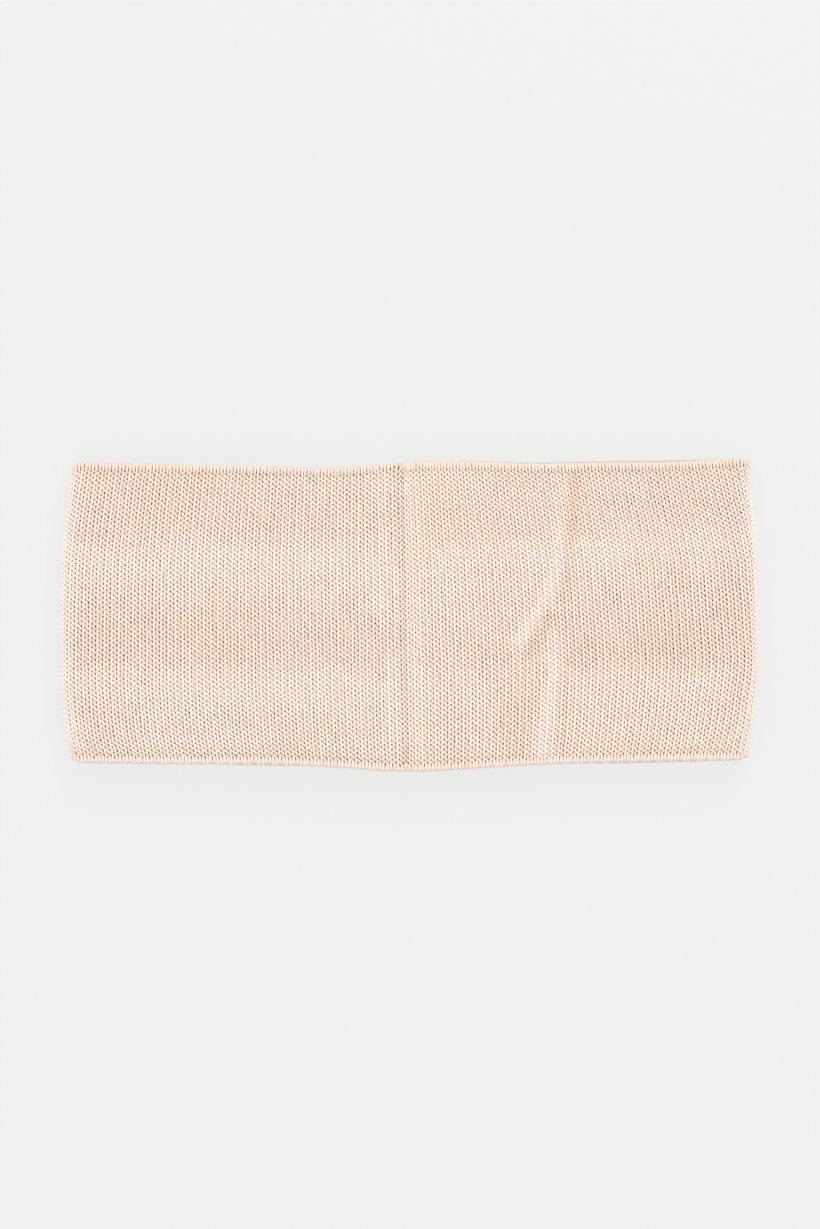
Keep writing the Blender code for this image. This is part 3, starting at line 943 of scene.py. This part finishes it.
def wool_material(name, colours, role):
    """Soft yarn. role is face for the loops, edge for those that wrap the rolled edges, and
    ground for the cloth behind them, which is coloured in painted shade."""
    material, tree = new_material(name)
    places = add_node(tree, "ShaderNodeTexCoord", output="Object")

    def attribute(key, output="Fac"):
        return add_node(
            tree, "ShaderNodeAttribute", None, output, attribute_type="GEOMETRY",
            attribute_name=key)

    def mixed(share, a, b, blend="MIX"):
        return add_node(
            tree, "ShaderNodeMix", {0: share, 6: a, 7: b}, 2, data_type="RGBA",
            clamp_factor=True, blend_type=blend)

    def noise(scale, detail, roughness=0.5):
        inputs = {"Vector": places, "Scale": scale, "Detail": detail, "Roughness": roughness}
        return add_node(tree, "ShaderNodeTexNoise", inputs)

    def about_one(value, spread):
        return value * spread + (1.0 - spread / 2)

    face, depth_shade, warm = ((*colour, 1.0) for colour in (colours.face, colours.depth_shade, colours.warm))
    # At the edges the yarn turns towards the edge colour, a grey painted shade.
    if role == "edge":
        face = mixed(attribute("outer"), face, (*colours.edge, 1.0))
    broad, fine, fibre = noise(38.0, 2.0), noise(900.0, 3.0, 0.65), noise(2600.0, 2.0, 0.7)
    warmth, pressed = attribute("warmth"), attribute("pressed")
    # The colour of the holes and gaps is painted shade, more orange by the edges, seam and creases.
    colour = mixed(warmth * 0.9, depth_shade, warm)
    # Stitches picked at random take a darker painted shade in their holes.
    if role != "edge":
        knit = bpy.context.scene.knit_sizes
        key, halves = "counted", (2.0, 1.0, 0.0)
        if role == "ground":
            key, halves = "stitch_map", (2.0 * knit.wales, float(knit.courses), 0.0)
        stitch = sums("FLOOR", attribute(key, "Vector") * halves)
        drawn = add_node(
            tree, "ShaderNodeTexWhiteNoise", {"Vector": stitch}, noise_dimensions="3D")
        rare = ranged(drawn, RARE_FROM, RARE_TO)
        colour = mixed(rare * 0.95, colour, DARKEST_SHADE)
    # Loops and the gaps between the edges' legs take painted shade as they sink, less in lit rows.
    if role != "ground":
        sunk, most = attribute("inward"), EDGE_DEPTH
        if role == "face":
            sunk = warmth * 0.2 + (rare * RARE_DEPTH + sunk)
            most = rare * RARE_DEPTH + USUAL_DEPTH
        depth_shade_share = ranged(sunk, 0.0, 1.0, 0.0, most, "SMOOTHSTEP")
        # The flanks of the loops take a little orange painted shade.
        face = mixed(ranged(attribute("inward"), -0.9, 0.4, 0.0, FLANK_SHADE), face, warm)
        colour = mixed(depth_shade_share * (pressed * -SPARED + 1.0), face, colour)
        # The yarn by the edges, the seam and the creases takes orange painted shade too.
        colour = mixed(warmth * (WARM_FACE if role == "face" else WARM_WRAPS), colour, warm)
    # Painted light makes the pressed rows paler and bluer, and the yarn's tone strays at random.
    red = pressed * LIT_PALER + about_one(fine, FUZZ)
    green = red * about_one(broad, GREEN_CLOUDS)
    blue = red * (pressed * LIT_BLUER + about_one(broad, BLUE_CLOUDS))
    tone = add_node(tree, "ShaderNodeCombineColor", {0: red, 1: green, 2: blue})
    height = fibre
    if role != "ground":
        around = split(attribute("around", "Vector"))
        along = split(attribute("counted", "Vector"))[0] * (2 * math.pi * TWISTS)
        twist = sums("SINE", along) * around[0] + sums("COSINE", along) * around[1]
        height = twist * 0.35 + fibre
    bump = add_node(
        tree, "ShaderNodeBump", {"Height": height, "Strength": 0.5, "Distance": 0.00012})
    finish_material(tree, {
        "Base Color": mixed(1.0, colour, tone, "MULTIPLY"), "Roughness": 0.92,
        "Specular IOR Level": 0.15, "Sheen Weight": 0.2, "Sheen Roughness": 0.6, "Normal": bump})
    return material


def material_for(role):
    """The yarn's material for a role, made once."""
    name = {"face": "cream yarn", "edge": "cream edge yarn", "ground": "cream ground"}[role]
    found = bpy.data.materials.get(name)
    return found or wool_material(name, bpy.context.scene.knit_colours, role)


def knit_values(scene, start, end, points):
    """The inputs of the tree that knits, for the columns from start to end."""
    knit = scene.knit_sizes
    return {
        "First Wale": float(start), "Wales": int(end - start), "First Course": 0.0,
        "Courses": knit.courses, "Map Wales": float(knit.wales), "Map Courses": float(knit.courses),
        "Points": points, "Sides": YARN_SIDES, "Yarn": knit.yarn, "Sway": knit.sway,
        "Reach": knit.reach, "Depth": knit.depth, "Fullness": knit.fullness,
        "Closing": knit.closing,
        "Unevenness": knit.unevenness, "Seed": knit.seed, "Material": material_for("face")}


class EARWARMER_OT_ground(bpy.types.Operator):
    """Lay the cloth's thin ground in painted shade, which the loops of yarn close over on both
    sides
    """

    bl_idname = "earwarmer.ground"
    bl_label = "Lay Ground"

    def execute(self, context):
        knit = context.scene.knit_sizes
        columns, rows = knit.wales + 1, knit.courses // 2 + 1
        turns, up = np.meshgrid(
            np.linspace(0, 1, columns), np.linspace(-1.0, 1.0, rows), indexing="ij")
        places = BandSurface(context.scene).knitted(turns, up)
        outwards, upwards = frames(places)
        places = places - outwards * knit.depth * GROUND_SUNK
        # The ground takes orange painted shade beside the edges and the seam.
        warm = warm_shade_beside_edges(turns * knit.wales, (up + 1) / 2 * knit.courses, knit)
        mesh = grid_mesh("cloth_ground", places, outwards, upwards, warm)
        mesh.shade_smooth()
        mesh.materials.append(material_for("ground"))
        ground = linked("cloth_ground", mesh)
        wall = ground.modifiers.new("wall", "SOLIDIFY")
        wall.thickness = GROUND_WALL * knit.yarn
        wall.offset = 0.0
        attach(ground, "root")
        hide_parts("knit_band")
        return {"FINISHED"}


class EARWARMER_OT_knit(bpy.types.Operator):
    """Knit the cloth of the band, loop by loop"""

    bl_idname = "earwarmer.knit"
    bl_label = "Knit Cloth"

    def execute(self, context):
        scene = context.scene
        knit = scene.knit_sizes
        tree = knit_tree()
        carrier = cloth_mesh(BandSurface(scene), knit)
        for part in KNIT_PIECES:
            start, end = round(part.start * knit.wales), round(part.end * knit.wales)
            piece = grow(part.name, carrier, tree, knit_values(scene, start, end, part.points))
            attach(piece, "root")
            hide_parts("knit_band")
        return {"FINISHED"}


class EARWARMER_OT_edges(bpy.types.Operator):
    """Wrap the rolled edges at the top and the bottom of the band"""

    bl_idname = "earwarmer.edges"
    bl_label = "Wrap Edges"

    def execute(self, context):
        scene = context.scene
        knit, band = scene.knit_sizes, scene.band_sizes
        tree = wrap_tree()
        carrier = cloth_mesh(BandSurface(scene), knit, 2)
        for name, node, upper, scallop, core, gap_start, gap_end, shade in EDGE_WRAPS:
            values = {
                "First Wale": 0.0, "Wales": knit.wales,
                "Course": float(knit.courses) if upper > 0 else 0.0,
                "Map Wales": float(knit.wales), "Map Courses": float(knit.courses),
                "Upper": upper, "Yarn": knit.yarn, "Roll": band.roll,
                "Centre": band.roll / 2 - band.tuck, "Scallop": scallop, "Core": core,
                "Gap Start": gap_start, "Gap End": gap_end, "Shade": shade,
                "Unevenness": knit.unevenness, "Seed": knit.seed,
                "Material": material_for("edge")}
            piece = grow(name, carrier, tree, values)
            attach(piece, "root")
            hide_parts(node)
        return {"FINISHED"}


class EARWARMER_OT_seam(bpy.types.Operator):
    """Knit the two turned-in edges of cloth behind the seam"""

    bl_idname = "earwarmer.seam"
    bl_label = "Turn In Seam"

    def execute(self, context):
        scene = context.scene
        knit, seam, band = scene.knit_sizes, scene.seam_sizes, scene.band_sizes
        surface = BandSurface(scene)
        wales = 2 * round(seam.allowance / (surface.round / knit.wales))
        stitch, course = map_grid(wales, knit.courses)
        away = (2 * stitch / wales - 1) * (seam.allowance - knit.yarn / 2)
        up = 2 * course / knit.courses - 1
        above = surface.places(np.abs(away), up)
        line = seam.offset - seam.lean * up
        above[..., 0] = np.where(away < 0, 2 * line - above[..., 0], above[..., 0])
        outwards, upwards = frames(above)
        places = above - outwards * (band.wall / 2 + band.seam_clearance + seam.ply / 2)
        # The turned-in cloth takes a share of orange painted shade.
        warm = np.full(up.shape, TURNED_IN_WARMTH)
        carrier = grid_mesh("seam surface", places, -outwards, upwards, warm)
        values = knit_values(scene, 0, wales, TURNED_IN_POINTS)
        values.update({"Map Wales": float(wales), "Depth": seam.ply / 2 - knit.yarn / 2,
                       "Reach": TURNED_IN_REACH, "Fullness": 0.0})
        piece = grow("turned_in_cloth", carrier, knit_tree(), values)
        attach(piece, "root")
        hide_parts("seam_allowance")
        return {"FINISHED"}


class EARWARMER_OT_stage(bpy.types.Operator):
    """Put the band on a pale floor, with soft light and a camera straight above"""

    bl_idname = "earwarmer.stage"
    bl_label = "Set Stage"

    def execute(self, context):
        scene = context.scene
        look = scene.stage_look
        mesh = bpy.data.meshes.new("floor")
        mesh.from_pydata(
            [(-FLOOR_REACH, -FLOOR_REACH, FLOOR_LEVEL), (FLOOR_REACH, -FLOOR_REACH, FLOOR_LEVEL),
             (FLOOR_REACH, FLOOR_REACH, FLOOR_LEVEL), (-FLOOR_REACH, FLOOR_REACH, FLOOR_LEVEL)],
            [], [(0, 1, 2, 3)])
        floor = linked("floor", mesh)
        material, tree = new_material("pale floor")
        places = add_node(tree, "ShaderNodeTexCoord", output="Object")
        cloudy = add_node(tree, "ShaderNodeTexNoise", {"Vector": places, "Scale": 4.0})
        tone = ranged(cloudy, 0.0, 1.0, 0.995 * look.floor[0], look.floor[0])
        grey = add_node(tree, "ShaderNodeCombineColor", {0: tone, 1: tone, 2: tone})
        finish_material(tree, {
            "Base Color": grey, "Roughness": 0.95, "Specular IOR Level": 0.1,
            "Emission Color": (1.0, 1.0, 1.0, 1.0), "Emission Strength": look.floor_glow})
        mesh.materials.append(material)

        world = bpy.data.worlds.new("soft sky")
        world.use_nodes = True
        background = world.node_tree.nodes["Background"]
        background.inputs["Color"].default_value = (1.0, 1.0, 1.0, 1.0)
        background.inputs["Strength"].default_value = look.sky
        scene.world = world

        for name, size, place in LAMPS:
            light = bpy.data.lights.new(name, "AREA")
            light.shape = "SQUARE"
            light.size = size
            light.energy = getattr(look, name)
            lamp = linked(name, light)
            lamp.location = place
            lamp.rotation_euler = (-Vector(place)).to_track_quat("-Z", "Y").to_euler()

        camera = bpy.data.cameras.new("camera")
        camera.sensor_fit = "VERTICAL"
        camera.sensor_height = 24.0
        distance = look.camera_height - CLOTH_LEVEL
        camera.lens = camera.sensor_height * distance / SEEN_HEIGHT
        camera.clip_start, camera.clip_end = 0.05, 20.0
        eye = linked("camera", camera)
        eye.location = (0.0, 0.0, look.camera_height)
        scene.camera = eye
        scene.view_settings.view_transform = "Standard"
        return {"FINISHED"}


class EARWARMER_OT_declare(bpy.types.Operator):
    """A step that does nothing"""

    bl_idname = "earwarmer.declare"
    bl_label = "Declare Cloth"

    def execute(self, context):
        return {"FINISHED"}


class EARWARMER_PT_panel(bpy.types.Panel):
    """Sizes, colours and steps of the ear warmer"""

    bl_idname = "EARWARMER_PT_panel"
    bl_label = "Ear Warmer"
    bl_space_type = "VIEW_3D"
    bl_region_type = "UI"
    bl_category = "Ear Warmer"

    def draw(self, context):
        for group in ("band_sizes", "seam_sizes", "knit_sizes", "knit_colours", "stage_look"):
            values = getattr(context.scene, group)
            box = self.layout.box()
            for key in values.bl_rna.properties.keys():
                if key not in {"rna_type", "name"}:
                    box.prop(values, key)
        for step in STEPS:
            self.layout.operator(step.bl_idname)


GROUPS = {
    "band_sizes": BandSizes, "seam_sizes": SeamSizes, "knit_sizes": KnitSizes,
    "knit_colours": KnitColours, "stage_look": StageLook}
STEPS = (
    EARWARMER_OT_stage, EARWARMER_OT_ground, EARWARMER_OT_knit, EARWARMER_OT_edges,
    EARWARMER_OT_seam, EARWARMER_OT_declare)


def register():
    for group in GROUPS.values():
        bpy.utils.register_class(group)
    for name, group in GROUPS.items():
        setattr(bpy.types.Scene, name, bpy.props.PointerProperty(type=group))
    for step in STEPS:
        bpy.utils.register_class(step)
    bpy.utils.register_class(EARWARMER_PT_panel)


def unregister():
    bpy.utils.unregister_class(EARWARMER_PT_panel)
    for step in reversed(STEPS):
        bpy.utils.unregister_class(step)
    for name in GROUPS:
        delattr(bpy.types.Scene, name)
    for group in reversed(list(GROUPS.values())):
        bpy.utils.unregister_class(group)


def main():
    register()
    for step in STEPS:
        family, action = step.bl_idname.split(".")
        getattr(getattr(bpy.ops, family), action)()


if __name__ == "__main__":
    main()
